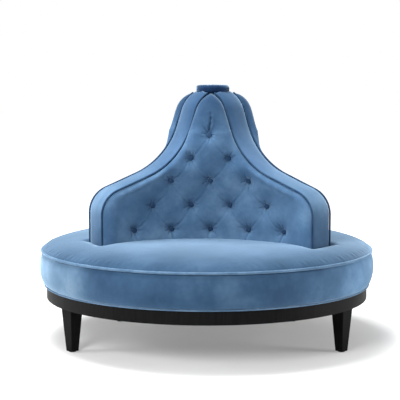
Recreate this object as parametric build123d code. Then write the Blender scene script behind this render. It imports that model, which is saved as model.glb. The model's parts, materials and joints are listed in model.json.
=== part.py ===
from build123d import *
import math
import os

os.makedirs("parts", exist_ok=True)

# Driving sizes of the base, in millimetres
leg_height = 203.0
leg_top = 68.0
leg_bottom = 39.0
leg_edge_r = 3.0
leg_turn = 45.0
front_leg_set = 69.7
front_leg_turn = 63.2
rear_leg_set = 169.5
rear_leg_turn = 49.24
pad_height = 4.0
pad_r = 15.0
plinth_r = 724.0
plinth_height = 64.0
plinth_wall = 26.0
block_size = 96.0
block_drop = 6.0
rail_width = 40.0
long_rail_x = 130.0
dust_cover_thickness = 1.5
bolt_r = 4.0
bolt_grip = 60.0
nut_r = 8.0
nut_height = 7.0

# Driving sizes of the seat
hoop_set = 4.0
hoop_wall = 8.0
band_foot = 16.0
band_top = 23.0
band_belly = 31.0
seat_edge_z = 415.0
crown_height = 65.0
crown_power = 6.0
crown_root = 1.6
crown_shares = (0.994, 0.955, 0.835, 0.43)
deck_thickness = 12.0
platform_thickness = 15.0
foam_foot_z = 385.0
rib_thickness = 15.0
rib_count = 6
hub_r = 62.0
cover_thickness = 2.5
seat_cord_r = 5.5
welt_r = 3.0

# Driving sizes of the back, in its own frame about its post
back_shift = 27.0
back_turn = -5.0
fin_count = 3
seat_ledge = 180.0
ridge_width = 150.0
ridge_depth = 30.0
ridge_crown = 9.0
ridge_notch = 7.0
ridge_taper = 30.0
shoulder_z = 593.0
shoulder_r = 116.0
slope_angle = 21.6
sweep_r = 338.0
neck_angle = 72.0
neck_run = 78.3
dome_r = 125.0
dome_set = 3.0
edge_board = 6.0
fin_thickness = 24.0
post_r = 30.0
ridge_cord_r = 4.5
panel_set = 6.0
panel_hollow_share = 0.4438
panel_swell = 59.0
panel_low_z = 640.0
panel_high_z = 940.0
panel_bulge_share = 0.7
pad_thickness = 42.0
pad_tip_share = 0.78
pad_corner_gap = 2.3
pad_nook_gap = 2.5
pad_nook_set = 2.0
pad_nook_reach = 52.0
pad_tip_drops = (38.5, 16.5)
pad_body_drop = 62.5
section_shares = (0.0, 0.315, 0.38, 0.43, 0.465, 0.51, 0.54, 0.575, 0.61, 0.65, 0.69, 0.74, 0.79, 0.85, 0.93, 1.0)
stretcher_z = (385.3, 550.0, 715.0)
stretcher_width = 22.0
stretcher_height = 45.0
button_rows = 5
button_pitch = 168.0
row_pitch = 105.4
button_low_z = 518.0
button_r = 9.5
button_back = 3.0
button_dome = 5.0
tuft_depth = 20.0
tuft_floor_r = 10.5
tuft_mouth_r = 38.0
pleat_depth = 9.0
pleat_half_width = 24.0
cap_r = 75.0
cap_sink = 17.5
cap_height = 40.0
cap_edge_r = 9.0
cap_wall = 5.0
cap_board = 12.0
fin_bolt_shares = (0.42, 0.80)

# Clearances and cutting overruns
clear = 0.3
probe = 1.0
overrun = 20.0

# Heights and radii that follow from the driving sizes
hoop_r = plinth_r - hoop_set
boxing_foot_r = hoop_r + band_foot
seat_r = hoop_r + band_top
boxing_r = hoop_r + band_belly
fin_reach = seat_r - seat_ledge
deck_z = leg_height + plinth_height
hoop_foot_z = deck_z + deck_thickness
platform_z = foam_foot_z - platform_thickness
half_ridge = ridge_width / 2
half_fin = fin_thickness / 2
core_inset = ridge_depth + clear + edge_board
plinth_inner_r = plinth_r - plinth_wall
back_foot_z = foam_foot_z + clear
sector = 360.0 / fin_count
half_sector = math.radians(sector / 2)
front_leg_x = (plinth_r - front_leg_set) * math.sin(math.radians(front_leg_turn))
front_leg_y = (plinth_r - front_leg_set) * math.cos(math.radians(front_leg_turn))
rear_leg_x = (plinth_r - rear_leg_set) * math.sin(math.radians(rear_leg_turn))
rear_leg_y = (plinth_r - rear_leg_set) * math.cos(math.radians(rear_leg_turn))
leg_places = {
    "front_left": (-front_leg_x, -front_leg_y),
    "front_right": (front_leg_x, -front_leg_y),
    "rear_left": (-rear_leg_x, rear_leg_y),
    "rear_right": (rear_leg_x, rear_leg_y),
}
fin_turns = {"left": -sector / 2, "right": sector / 2, "rear": 1.5 * sector}
cord_sides = {"left": ("left", "front"), "right": ("front", "right"), "rear": ("right", "left")}
panel_turns = {"front": 0.0, "right": sector, "left": -sector}


def upright(radius, foot, top, x=0.0, y=0.0):
    """A round bar between two heights."""
    bar = Cylinder(radius, top - foot, align=(Align.CENTER, Align.CENTER, Align.MIN))
    return Pos(x, y, foot) * bar


def ring(outer, inner, foot, top):
    return upright(outer, foot, top) - upright(inner, foot - overrun, top + overrun)


def seated(shape):
    """The back stands a little to one side of the seat's centre, and slightly turned."""
    return Pos(back_shift, 0, 0) * Rot(0, 0, back_turn) * shape


def solids_of(pieces):
    return Compound([solid for piece in pieces for solid in piece.solids()])


# The bell outline of a fin, as the distance from the post at each height


def slope_run():
    """Length of the straight slope that brings the dome over the post."""
    low = math.radians(slope_angle)
    high = math.radians(neck_angle)
    arcs = shoulder_r * math.sin(low) + sweep_r * (math.sin(low) - math.sin(high)) - dome_r * math.sin(high)
    across = fin_reach - shoulder_r + arcs - neck_run * math.cos(high) - dome_set
    return across / math.cos(low)


def bell_nodes(inset):
    """Corners and arc centres of the bell outline, set in from its outer line by inset."""
    low = math.radians(slope_angle)
    high = math.radians(neck_angle)
    run = slope_run()
    first = shoulder_r - inset
    second = sweep_r + inset
    third = dome_r - inset
    c1 = (fin_reach - shoulder_r, shoulder_z)
    p2 = (c1[0] + first * math.sin(low), c1[1] + first * math.cos(low))
    p3 = (p2[0] - run * math.cos(low), p2[1] + run * math.sin(low))
    c3 = (p3[0] + second * math.sin(low), p3[1] + second * math.cos(low))
    p4 = (c3[0] - second * math.sin(high), c3[1] - second * math.cos(high))
    p5 = (p4[0] - neck_run * math.cos(high), p4[1] + neck_run * math.sin(high))
    c5 = (p5[0] - third * math.sin(high), p5[1] - third * math.cos(high))
    return {
        "radii": (first, second, third),
        "points": (p2, p3, p4, p5),
        "centres": (c1, c3, c5),
        "top": c5[1] + third,
    }


cap_foot_z = bell_nodes(0)["top"] - cap_sink
cap_top_z = cap_foot_z + cap_height


def reach_at(height, inset):
    """Distance of the bell outline from the post at one height."""
    nodes = bell_nodes(inset)
    (first, second, third) = nodes["radii"]
    (p2, p3, p4, p5) = nodes["points"]
    (c1, c3, c5) = nodes["centres"]
    if height <= shoulder_z:
        return fin_reach - inset
    if height <= p2[1]:
        return c1[0] + math.sqrt(first**2 - (height - c1[1]) ** 2)
    if height <= p3[1]:
        return p2[0] - (height - p2[1]) / math.tan(math.radians(slope_angle))
    if height <= p4[1]:
        return c3[0] - math.sqrt(second**2 - (c3[1] - height) ** 2)
    if height <= p5[1]:
        return p4[0] - (height - p4[1]) / math.tan(math.radians(neck_angle))
    return c5[0] + math.sqrt(max(third**2 - (height - c5[1]) ** 2, 0))


def on_arc(centre, radius, angle, side):
    return (centre[0] + side * radius * math.sin(angle), centre[1] + side * radius * math.cos(angle))


def bell_edges(inset, foot):
    """The bell outline from its foot to the post's axis, drawn with the reach to the left."""
    nodes = bell_nodes(inset)
    (first, second, third) = nodes["radii"]
    (p2, p3, p4, p5) = nodes["points"]
    (c1, c3, c5) = nodes["centres"]
    low = math.radians(slope_angle)
    high = math.radians(neck_angle)
    p0 = (fin_reach - inset, foot)
    p1 = (fin_reach - inset, shoulder_z)
    m1 = on_arc(c1, first, (low + math.pi / 2) / 2, 1)
    m3 = on_arc(c3, second, (low + high) / 2, -1)
    m5 = on_arc(c5, third, high / 2, 1)
    p6 = (c5[0], nodes["top"])
    p7 = (0, nodes["top"])
    flip = [(-s, z) for s, z in (p0, p1, m1, p2, p3, m3, p4, p5, m5, p6, p7)]
    return [
        Line(flip[0], flip[1]),
        ThreePointArc(flip[1], flip[2], flip[3]),
        Line(flip[3], flip[4]),
        ThreePointArc(flip[4], flip[5], flip[6]),
        Line(flip[6], flip[7]),
        ThreePointArc(flip[7], flip[8], flip[9]),
        Line(flip[9], flip[10]),
    ]


def fin_face(edges):
    """A face in the plane of a fin that points to the front."""
    return Plane.YZ * Face(Wire(edges))


def bell_strip(outer, inner, foot):
    """The face between two bell outlines."""
    out = bell_edges(outer, foot)
    back = bell_edges(inner, foot)
    head = Line(out[-1] @ 1, back[-1] @ 1)
    base = Line(back[0] @ 0, out[0] @ 0)
    return fin_face(out + back + [head, base])


def bell_plate(inset, foot):
    """The face within a bell outline, closed down the post's axis and along its foot."""
    edges = bell_edges(inset, foot)
    top = edges[-1] @ 1
    edges.append(Line(top, (0, foot)))
    edges.append(Line((0, foot), edges[0] @ 0))
    return fin_face(edges)


def mitre():
    """The sector of the plan that one fin may fill, from the post outward."""
    tip = clear / 2 / math.sin(half_sector)
    far = fin_reach + overrun
    side = far * math.tan(half_sector)
    plan = Face(Wire(Polyline((0, -tip), (-side, -far - tip), (side, -far - tip), close=True).edges()))
    return Pos(0, 0, foam_foot_z - overrun) * extrude(plan, cap_top_z)


# The front surface of a tufted panel, in the frame of the panel that faces the front


def smooth(share):
    share = min(max(share, 0), 1)
    return share * share * (3 - 2 * share)


def beside(reach, lateral):
    """Plan point that lies along the fin to the right of a panel, off that fin's middle."""
    across = reach * math.sin(half_sector) - lateral * math.cos(half_sector)
    depth = reach * math.cos(half_sector) + lateral * math.sin(half_sector)
    return (across, -depth)


def foot_hollow():
    """Depth of a panel's middle line where it stands in the seat."""
    across, front = beside(fin_reach - panel_set, half_ridge)
    return -front - panel_hollow_share * across


def centre_at(height):
    """Depth of a panel's middle line, hollow below and swelling at the neck."""
    across, front = beside(reach_at(height, panel_set), half_ridge)
    rise = smooth((height - panel_low_z) / (panel_high_z - panel_low_z))
    hollow = foot_hollow() + panel_swell * rise
    return min(hollow, panel_bulge_share * max(across, 0) - front)


def bend_at(height):
    """Curvature of the front arc in plan, positive where the panel is hollow."""
    across, front = beside(reach_at(height, panel_set), half_ridge)
    sag = -front - centre_at(height)
    return 2 * sag / (across**2 + sag**2)


def on_front(along, height):
    """Point on the panel's front, by distance along its arc from the middle."""
    bend = bend_at(height)
    turn = bend * along
    return Vector(math.sin(turn) / bend, -centre_at(height) - (1 - math.cos(turn)) / bend, height)


def spot(along, height):
    """Point on the panel's front and the direction square to it there."""
    across = on_front(along + probe, height) - on_front(along - probe, height)
    up = on_front(along, height + probe) - on_front(along, height - probe)
    return on_front(along, height), across.cross(up).normalized()


def pad_section(height):
    """Crescent plan of a panel's padding, from one ridge to the next."""
    corner = beside(reach_at(height, panel_set), half_ridge + pad_corner_gap)
    reach = reach_at(height, core_inset + pad_nook_set)
    lateral = half_ridge - ridge_taper + pad_nook_gap
    if reach < pad_nook_reach:
        lateral = half_ridge + pad_corner_gap
    nook = beside(max(reach, pad_nook_reach), lateral)
    front = -centre_at(height)
    back = front + min(pad_thickness, pad_tip_share * corner[0])
    outline = [
        ThreePointArc((-corner[0], corner[1]), (0, front), corner),
        Line(corner, nook),
        ThreePointArc(nook, (0, back), (-nook[0], nook[1])),
        Line((-nook[0], nook[1]), (-corner[0], corner[1])),
    ]
    return Pos(0, 0, height) * Face(Wire(outline))


def section_heights():
    top = bell_nodes(0)["top"]
    body = top - pad_body_drop - back_foot_z
    heights = [back_foot_z + share * body for share in section_shares]
    return heights + [top - drop for drop in pad_tip_drops]


def button_spots():
    """Rows of one to five buttons, in a triangle with its point up."""
    rows = []
    for row in range(button_rows):
        height = button_low_z + row * row_pitch
        count = button_rows - row
        rows.append([((i - (count - 1) / 2) * button_pitch, height) for i in range(count)])
    return rows


def tuft_tool(along, height):
    point, outward = spot(along, height)
    spread = (tuft_mouth_r - tuft_floor_r) / tuft_depth
    reach = tuft_depth + pleat_depth
    cone = Cone(tuft_floor_r, tuft_floor_r + spread * reach, reach, align=(Align.CENTER, Align.CENTER, Align.MIN))
    return Plane(origin=point - outward * tuft_depth, z_dir=outward) * cone


def pleat_tool(start, end):
    """A V-shaped fold between two places on the panel's front."""
    (a, out_a), (b, out_b) = spot(*start), spot(*end)
    run = b - a
    outward = (out_a + out_b).normalized()
    side = run.cross(outward).normalized()
    plane = Plane(origin=a, x_dir=side, z_dir=run.normalized())
    lift = 1 if plane.y_dir.dot(outward) > 0 else -1
    corners = [
        (-2 * pleat_half_width, pleat_depth * lift),
        (0, -pleat_depth * lift),
        (2 * pleat_half_width, pleat_depth * lift),
    ]
    return plane * extrude(Face(Wire(Polyline(*corners, close=True).edges())), run.length)


def pleats():
    """Folds from each button to the two below it, and the ones that run out at the ends."""
    rows = button_spots()
    folds = []
    for lower, upper in zip(rows, rows[1:]):
        for i, place in enumerate(upper):
            folds.append((place, lower[i]))
            folds.append((place, lower[i + 1]))
    peak = rows[-1][0]
    folds.append((peak, (peak[0], peak[1] + row_pitch)))
    for along, height in rows[0]:
        lean = -math.copysign(row_pitch / fin_count, along) if along else 0
        folds.append(((along, height), (along + lean, height - row_pitch)))
    return folds


def button_places():
    return [place for row in button_spots() for place in row]


# Base


def make_leg(x, y):
    hole = upright(bolt_r + clear, leg_height - bolt_grip, leg_height + overrun)
    foot = Pos(0, 0, pad_height) * RectangleRounded(leg_bottom, leg_bottom, leg_edge_r)
    head = Pos(0, 0, leg_height) * RectangleRounded(leg_top, leg_top, leg_edge_r)
    return Pos(x, y, 0) * Rot(0, 0, leg_turn) * (loft([foot, head]) - hole)


def make_block(x, y):
    """A corner block that the leg is bolted to, cut to the curve of the plinth."""
    height = plinth_height - block_drop
    block = Pos(x, y, leg_height) * Box(
        block_size, block_size, height, align=(Align.CENTER, Align.CENTER, Align.MIN)
    )
    within = upright(plinth_inner_r - clear, leg_height - overrun, deck_z)
    hole = upright(bolt_r + clear, leg_height - overrun, deck_z, x, y)
    return (block & within) - hole


def make_leg_bolt(x, y):
    top = leg_height + plinth_height - block_drop
    shank = upright(bolt_r, leg_height - bolt_grip + clear, top, x, y)
    nut = Pos(x, y, top) * extrude(RegularPolygon(nut_r, 6), block_drop - clear)
    return shank + nut


def make_dust_cover():
    cover = upright(plinth_inner_r - clear, leg_height, leg_height + dust_cover_thickness)
    for x, y in leg_places.values():
        cut = block_size + 2 * clear
        cover -= Pos(x, y, leg_height) * Box(cut, cut, overrun)
    return cover


def make_cross_rail(x, y):
    """A rail between two corner blocks."""
    foot = leg_height + dust_cover_thickness + clear
    length = 2 * (x - block_size / 2 - clear)
    rail = Box(length, rail_width, deck_z - foot, align=(Align.CENTER, Align.CENTER, Align.MIN))
    return Pos(0, y, foot) * rail


def make_long_rail(x):
    foot = leg_height + dust_cover_thickness + clear
    length = front_leg_y + rear_leg_y - rail_width - 2 * clear
    rail = Box(rail_width, length, deck_z - foot, align=(Align.CENTER, Align.CENTER, Align.MIN))
    return Pos(x, (rear_leg_y - front_leg_y) / 2, foot) * rail


# Seat


def crown_z(radius):
    return seat_edge_z + crown_height * (1 - (radius / seat_r) ** crown_power) ** (1 / crown_root)


def crown_points(drop, setback):
    """Five points of the crowned top, from its edge to the axis."""
    edge, bend, shoulder, mid = [(share * seat_r, crown_z(share * seat_r)) for share in crown_shares]
    edge = (edge[0] - setback, seat_edge_z + welt_r + clear - drop)
    rest = [(r, z - drop) for r, z in (bend, shoulder, mid, (0, crown_z(0)))]
    return [edge] + rest


def crown_arcs(points):
    edge, bend, shoulder, mid, peak = points
    return [ThreePointArc(edge, bend, shoulder), ThreePointArc(shoulder, mid, peak)]


def turned(edges):
    return revolve(Plane.XZ * Face(Wire(edges)), Axis.Z)


def outline_of(points):
    """Straight runs through the points in turn, left open."""
    return [Line(a, b) for a, b in zip(points, points[1:])]


def footprint(grow):
    """Plan of the back where it stands in the seat, grown by a clearance."""
    corner = 2 * ridge_cord_r + grow
    lateral = half_ridge + corner
    reach = fin_reach + corner
    across = reach * math.sin(half_sector) - lateral * math.cos(half_sector)
    depth = reach * math.cos(half_sector) + lateral * math.sin(half_sector)
    hollow = ThreePointArc((-across, -depth), (0, -foot_hollow() - grow), (across, -depth))
    bow = ThreePointArc((-lateral, -reach), (0, -reach - ridge_crown / 2), (lateral, -reach))
    pair = (hollow, Rot(0, 0, sector / 2) * bow)
    return Face(Wire([Rot(0, 0, i * sector) * edge for i in range(fin_count) for edge in pair]))


def back_well(grow):
    """The well in the seat that the back stands in."""
    return seated(Pos(0, 0, foam_foot_z - overrun) * extrude(footprint(grow), cap_top_z))


def make_seat_foam():
    drop = cover_thickness + clear
    points = crown_points(drop, drop)
    side = hoop_r - clear
    outline = outline_of([(0, back_foot_z), (side, back_foot_z), (side, points[0][1]), points[0]])
    outline += crown_arcs(points)
    outline += outline_of([points[-1], (0, back_foot_z)])
    return turned(outline) - back_well(clear)


def make_seat_cover():
    outer = crown_points(0, 0)
    inner = crown_points(cover_thickness, cover_thickness)
    outline = crown_arcs(outer) + crown_arcs(inner)
    outline += outline_of([outer[-1], inner[-1]])
    outline += outline_of([inner[0], outer[0]])
    return turned(outline) - back_well(clear)


def make_boxing():
    """The band round the seat, swelling between its welt and its cord."""
    inner = hoop_r + clear
    foot = deck_z + clear
    top = seat_edge_z - seat_cord_r - clear
    belly = ((deck_z + seat_edge_z) / 2, boxing_r)
    outline = outline_of([(seat_r - ridge_cord_r, top), (inner, top), (inner, foot), (boxing_foot_r, foot)])
    outline.append(ThreePointArc((boxing_foot_r, foot), (belly[1], belly[0]), (seat_r - ridge_cord_r, top)))
    return turned(outline)


def make_cord_ring(radius, height, cord_r):
    return Pos(0, 0, height) * Torus(radius, cord_r)


def make_deck():
    deck = upright(hoop_r, deck_z, hoop_foot_z)
    for x, y in leg_places.values():
        deck -= upright(nut_r + clear, deck_z - overrun, hoop_foot_z + overrun, x, y)
    return deck


def make_hub():
    """A six sided block at the middle that the ribs butt against."""
    plan = RegularPolygon(hub_r, rib_count, rotation=180 / rib_count)
    return Pos(0, 0, hoop_foot_z) * extrude(plan, platform_z - hoop_foot_z)


def make_ribs():
    start = hub_r * math.cos(math.pi / rib_count) + clear
    end = hoop_r - hoop_wall - clear
    rib = Box(
        end - start, rib_thickness, platform_z - hoop_foot_z, align=(Align.MIN, Align.CENTER, Align.MIN)
    )
    turns = [i * 360 / rib_count for i in range(rib_count)]
    return solids_of([Rot(0, 0, turn) * Pos(start, 0, hoop_foot_z) * rib for turn in turns])


def fin_bolt_spots():
    """Where the bolts come up into the foot of each fin, in the back's own frame."""
    spots = []
    for turn in fin_turns.values():
        for share in fin_bolt_shares:
            angle = math.radians(turn)
            reach = fin_reach * share
            spots.append((reach * math.sin(angle), -reach * math.cos(angle)))
    return spots


def make_platform():
    platform = upright(hoop_r, platform_z, foam_foot_z)
    for x, y in fin_bolt_spots():
        hole = upright(bolt_r + clear, platform_z - overrun, foam_foot_z + overrun, x, y)
        platform -= seated(hole)
    return platform


# Back


def make_post():
    """The post, up to the underside of the edge boards where they arch over it."""
    nodes = bell_nodes(core_inset + clear)
    across, height = nodes["centres"][2]
    top = height + math.sqrt(nodes["radii"][2] ** 2 - (post_r - across) ** 2)
    return upright(post_r, foam_foot_z, top)


def make_fin_board():
    """The upright board of a fin, cut to the bell outline and let in against the post."""
    board = extrude(bell_plate(core_inset + clear, foam_foot_z), half_fin, both=True)
    board -= upright(post_r + clear, foam_foot_z - overrun, cap_top_z)
    for share in fin_bolt_shares:
        top = foam_foot_z + bolt_grip
        board -= upright(bolt_r + clear, foam_foot_z - overrun, top, 0, -fin_reach * share)
    return board


def make_fin_edge():
    """The bent board that carries the ridge pad, nailed to the edge of the fin board."""
    half = half_ridge - ridge_taper - clear
    strip = extrude(bell_strip(ridge_depth + clear, core_inset, foam_foot_z), half, both=True)
    return strip & mitre()


def swept(section, foot, inset):
    """Sweeps a section along the bell outline of a fin that points to the front."""
    path = Plane.YZ * Wire(bell_edges(inset, foot))
    return sweep(section, path)


def ridge_section(grow, foot):
    """Crowned section of a ridge pad, narrower below and cut back at the cords.

    Grown by a clearance, it is the room that the ridge, its cords and its board take.
    """
    half = half_ridge + grow
    base = half - ridge_taper
    depth = ridge_depth if grow == 0 else core_inset + grow
    notch = ridge_notch - grow
    side = half - notch
    low = (base, -depth)
    outline = outline_of([(-side, 0), (-half, -notch), (-low[0], low[1]), low, (half, -notch), (side, 0)])
    outline.append(ThreePointArc((side, 0), (0, ridge_crown + grow), (-side, 0)))
    place = Plane(origin=(0, -fin_reach, foot), x_dir=(1, 0, 0), z_dir=(0, 0, -1))
    return place * Face(Wire(outline))


def make_ridge_pad():
    pad = swept(ridge_section(0, back_foot_z), back_foot_z, 0)
    pad = pad & mitre()
    return pad - cap_room()


def make_ridge_cord():
    """The cord along the right edge of a ridge pad."""
    x = half_ridge + clear / 2
    circle = Pos(x, -fin_reach, back_foot_z) * Circle(ridge_cord_r)
    path = Pos(x, 0, 0) * Plane.YZ * Wire(bell_edges(0, back_foot_z))
    return (sweep(circle, path) & mitre()) - cap_room()


def cap_room():
    """The round seat that the cap takes out of the ridges where they meet."""
    return upright(cap_r + clear, cap_foot_z - clear, cap_top_z)


def make_panel_pad():
    pad = loft([pad_section(height) for height in section_heights()], ruled=True)
    pad = pad - [tuft_tool(*place) for place in button_places()]
    return pad - [pleat_tool(*fold) for fold in pleats()]


def on_board(y):
    """Plan point on the side of the fin board to the right of a panel."""
    lateral = half_fin + clear
    return beside((-y - lateral * math.sin(half_sector)) / math.cos(half_sector), lateral)


def make_stretchers():
    """Rails between the boards of two fins, behind the hollow of a panel."""
    rails = []
    for foot in stretcher_z:
        front = pad_thickness + clear - centre_at(foot)
        (x1, y1), (x2, y2) = on_board(front), on_board(front + stretcher_width)
        plan = Polyline((-x1, y1), (x1, y1), (x2, y2), (-x2, y2), close=True)
        rails.append(Pos(0, 0, foot) * extrude(Face(Wire(plan.edges())), stretcher_height))
    return solids_of(rails)


def make_buttons():
    """Covered buttons, flat behind and domed in front."""
    front = button_back + button_dome
    bow = (button_r**2 + button_dome**2) / (2 * button_dome)
    middle = math.asin(button_r / bow) / 2
    shoulder = (bow * math.sin(middle), front - bow * (1 - math.cos(middle)))
    outline = outline_of([(0, front), (0, 0), (button_r, 0), (button_r, button_back)])
    outline.append(ThreePointArc((button_r, button_back), shoulder, (0, front)))
    button = turned(outline)
    buttons = []
    for place in button_places():
        point, outward = spot(*place)
        buttons.append(Plane(origin=point - outward * (tuft_depth - clear), z_dir=outward) * button)
    return solids_of(buttons)


def make_fin_bolts():
    bolts = []
    for x, y in fin_bolt_spots():
        shank = upright(bolt_r, platform_z, foam_foot_z + bolt_grip - clear, x, y)
        head = Pos(x, y, platform_z - nut_height) * extrude(RegularPolygon(nut_r, 6), nut_height)
        bolts.append(shank + head)
    return solids_of(bolts)


def make_cap_board():
    return upright(cap_r - cap_wall - clear, cap_foot_z, cap_foot_z + cap_board)


def make_cap_pad():
    """The padded cap, hollow underneath for its board."""
    wall_r = cap_r - cap_wall
    roof = cap_foot_z + cap_board + clear
    brow = (cap_r, cap_top_z - cap_edge_r)
    crest = (cap_r - cap_edge_r, cap_top_z)
    corner = cap_edge_r * (1 - math.sqrt(1 / 2))
    knee = (cap_r - corner, cap_top_z - corner)
    inside = [(0, cap_top_z), (0, roof), (wall_r, roof), (wall_r, cap_foot_z)]
    outline = outline_of([crest] + inside + [(cap_r, cap_foot_z), brow])
    outline.append(ThreePointArc(brow, knee, crest))
    return turned(outline)


def write(name, shape):
    export_step(shape, f"parts/{name}.step")


write("plinth_ring", ring(plinth_r, plinth_inner_r, leg_height, deck_z))
for corner, (leg_x, leg_y) in leg_places.items():
    write(f"leg_{corner}", make_leg(leg_x, leg_y))
    write(f"corner_block_{corner}", make_block(leg_x, leg_y))
write("leg_bolts", solids_of([make_leg_bolt(x, y) for x, y in leg_places.values()]))
write("foot_pads", solids_of([upright(pad_r, 0, pad_height, x, y) for x, y in leg_places.values()]))
write("front_rail", make_cross_rail(front_leg_x, -front_leg_y))
write("rear_rail", make_cross_rail(rear_leg_x, rear_leg_y))
write("long_rail_left", make_long_rail(-long_rail_x))
write("long_rail_right", make_long_rail(long_rail_x))
write("dust_cover", make_dust_cover())

write("seat_deck", make_deck())
write("seat_hoop", ring(hoop_r, hoop_r - hoop_wall, hoop_foot_z, platform_z))
write("seat_hub", make_hub())
write("seat_ribs", make_ribs())
write("seat_platform", make_platform())
write("seat_foam", make_seat_foam())
write("seat_cover", make_seat_cover())
write("seat_boxing", make_boxing())
write("seat_cord", make_cord_ring(seat_r, seat_edge_z, seat_cord_r))
write("seat_welt", make_cord_ring(boxing_foot_r - welt_r, deck_z - welt_r, welt_r))

write("back_post", seated(make_post()))
write("fin_bolts", seated(make_fin_bolts()))
fin_board = make_fin_board()
fin_edge = make_fin_edge()
ridge_pad = make_ridge_pad()
ridge_cord = make_ridge_cord()
cord_pair = (mirror(ridge_cord, Plane.YZ), ridge_cord)
for side, turn in fin_turns.items():
    place = Rot(0, 0, turn)
    write(f"fin_board_{side}", seated(place * fin_board))
    write(f"fin_edge_{side}", seated(place * fin_edge))
    write(f"ridge_pad_{side}", seated(place * ridge_pad))
    for panel, cord in zip(cord_sides[side], cord_pair):
        write(f"ridge_cord_{side}_by_{panel}_panel", seated(place * cord))

panel_pad = make_panel_pad()
stretchers = make_stretchers()
buttons = make_buttons()
for side, turn in panel_turns.items():
    place = Rot(0, 0, turn)
    write(f"panel_pad_{side}", seated(place * panel_pad))
    write(f"panel_stretchers_{side}", seated(place * stretchers))
    write(f"panel_buttons_{side}", seated(place * buttons))

write("cap_board", seated(make_cap_board()))
write("cap_pad", seated(make_cap_pad()))
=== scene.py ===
import bpy
import json
import math
import numpy as np
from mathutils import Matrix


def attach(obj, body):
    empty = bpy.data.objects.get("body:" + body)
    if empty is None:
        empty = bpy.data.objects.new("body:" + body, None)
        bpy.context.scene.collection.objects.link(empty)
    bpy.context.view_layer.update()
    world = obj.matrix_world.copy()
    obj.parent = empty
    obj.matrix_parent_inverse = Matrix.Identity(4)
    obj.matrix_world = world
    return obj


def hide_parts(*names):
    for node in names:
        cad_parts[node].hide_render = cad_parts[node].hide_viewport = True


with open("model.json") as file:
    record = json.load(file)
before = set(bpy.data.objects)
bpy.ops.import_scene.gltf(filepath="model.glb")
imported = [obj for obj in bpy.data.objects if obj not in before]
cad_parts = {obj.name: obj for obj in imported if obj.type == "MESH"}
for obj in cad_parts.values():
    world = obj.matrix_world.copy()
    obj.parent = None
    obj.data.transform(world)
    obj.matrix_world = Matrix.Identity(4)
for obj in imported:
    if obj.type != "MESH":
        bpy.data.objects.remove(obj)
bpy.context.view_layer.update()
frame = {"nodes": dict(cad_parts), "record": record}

# Sizes of the seat, in metres
seat_r = 0.743
seat_edge_z = 0.415
crown_height = 0.065
crown_power = 6.0
crown_root = 1.6
seat_foot_z = 0.390
seat_foot_set = 0.027
seat_ring_step = 0.0085
seat_ring_power = 0.82
seat_spokes = 720
seat_wave = 0.0012
seat_wave_length = 0.35
seat_wave_seed = 3
gather_height = 0.0011
gather_r = 0.722
gather_width = 0.012
gather_counts = (97, 139, 178)
tuck_depth = 0.012
tuck_width = 0.026
hidden_drop = 0.020
foot_steps = 24

# Sizes of the band round the seat, its cord and its welt
band_foot_z = 0.2675
band_top_z = 0.4095
band_foot_set = 0.007
band_inner_set = 0.0225
band_belly = 0.015
band_belly_power = 0.8
band_pinch = 0.005
band_pinch_rate = 14
band_rows = 26
band_spokes = 288
band_wave = 0.0007
band_wave_length = 0.22
band_wave_seed = 5
seat_cord_r = 0.0055
welt_r = 0.003
welt_z = 0.264
cord_sides = 10

# Sizes of the back, in its own frame about its post, with its turn in degrees
back_shift = 0.027
back_turn = -5.0
fin_count = 3
seat_ledge = 0.180
half_ridge = 0.075
ridge_depth = 0.030
ridge_crown = 0.009
ridge_swell_powers = (2.6, 0.8)
ridge_base = 0.045
ridge_edge_drop = 0.0055
ridge_side_drop = 0.011
ridge_foot_z = 0.402
ridge_step = 0.005
ridge_end_reach = 0.058
ridge_columns = 22
ridge_wave = 0.0006
ridge_wave_length = 0.16
ridge_cord_r = 0.0042
shoulder_z = 0.593
shoulder_r = 0.116
slope_angle = math.radians(21.6)
slope_run = 0.157662
sweep_r = 0.338
neck_angle = math.radians(72.0)
neck_run = 0.0783
dome_r = 0.125

# Sizes of a tufted panel
panel_set = 0.006
panel_foot_z = 0.402
panel_tip_reach = 0.047
panel_edge_gap = 0.0008
panel_low = 0.146
panel_high = 0.205
panel_low_z = 0.640
panel_high_z = 0.905
panel_bulge_share = 0.70
panel_flat_curve = 0.001
panel_step = 0.0030
panel_columns = 336
back_column_step = 12
panel_depth = 0.016
panel_tip_width = 0.160
groove_depth = 0.0060
groove_width = 0.0060
margin_roll = 0.0100
margin_place = 0.020
margin_width = 0.030
margin_fade = 0.060

# Sizes of the buttons and their soft bowls, with the rings of a button as shares of its radius and height
button_rows = 5
button_pitch = 0.168
row_pitch = 0.1054
button_low_z = 0.518
button_r = 0.0115
button_height = 0.0066
button_sink = 0.0085
button_spokes = 20
button_ring_shares = ((0.75, 0), (1.0, 0.22), (1.0, 0.45), (0.86, 0.76), (0.6, 0.93), (0.3, 0.99))
dimple_depth = 0.0090
dimple_width = 0.0160
dimple_power = 1.8
bowl_depth = 0.0300
bowl_width = 0.043
bowl_power = 1.3
puff_share = 0.56

# Sizes of the folds between buttons and of the puckers round them, with shares of depth along each
fold_depth = 0.0062
fold_width = 0.0050
fold_hang_share = 0.08
fold_steps = 5
fold_shares = (0.45, 0.12, 1.0)
low_fold_shares = (1.0, 0.5, 0.3)
pleat_shares = (1.6, 1.0, 0.0)
pleat_start = 0.022
crease_power = 1.4
flank_place = 1.9
flank_share = 0.34
flank_clear = 0.024
pucker_depth = 0.0054
pucker_width = 0.0042
pucker_count = 8
pucker_reach = 0.052
pucker_seed = 7
pucker_turn_share = 0.3
pucker_bend_share = 0.12
pucker_reach_shares = (0.45, 1.0)
pucker_depth_shares = (0.5, 1.0)
pucker_fade_shares = (1.0, 0.7, 0.0)

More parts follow.
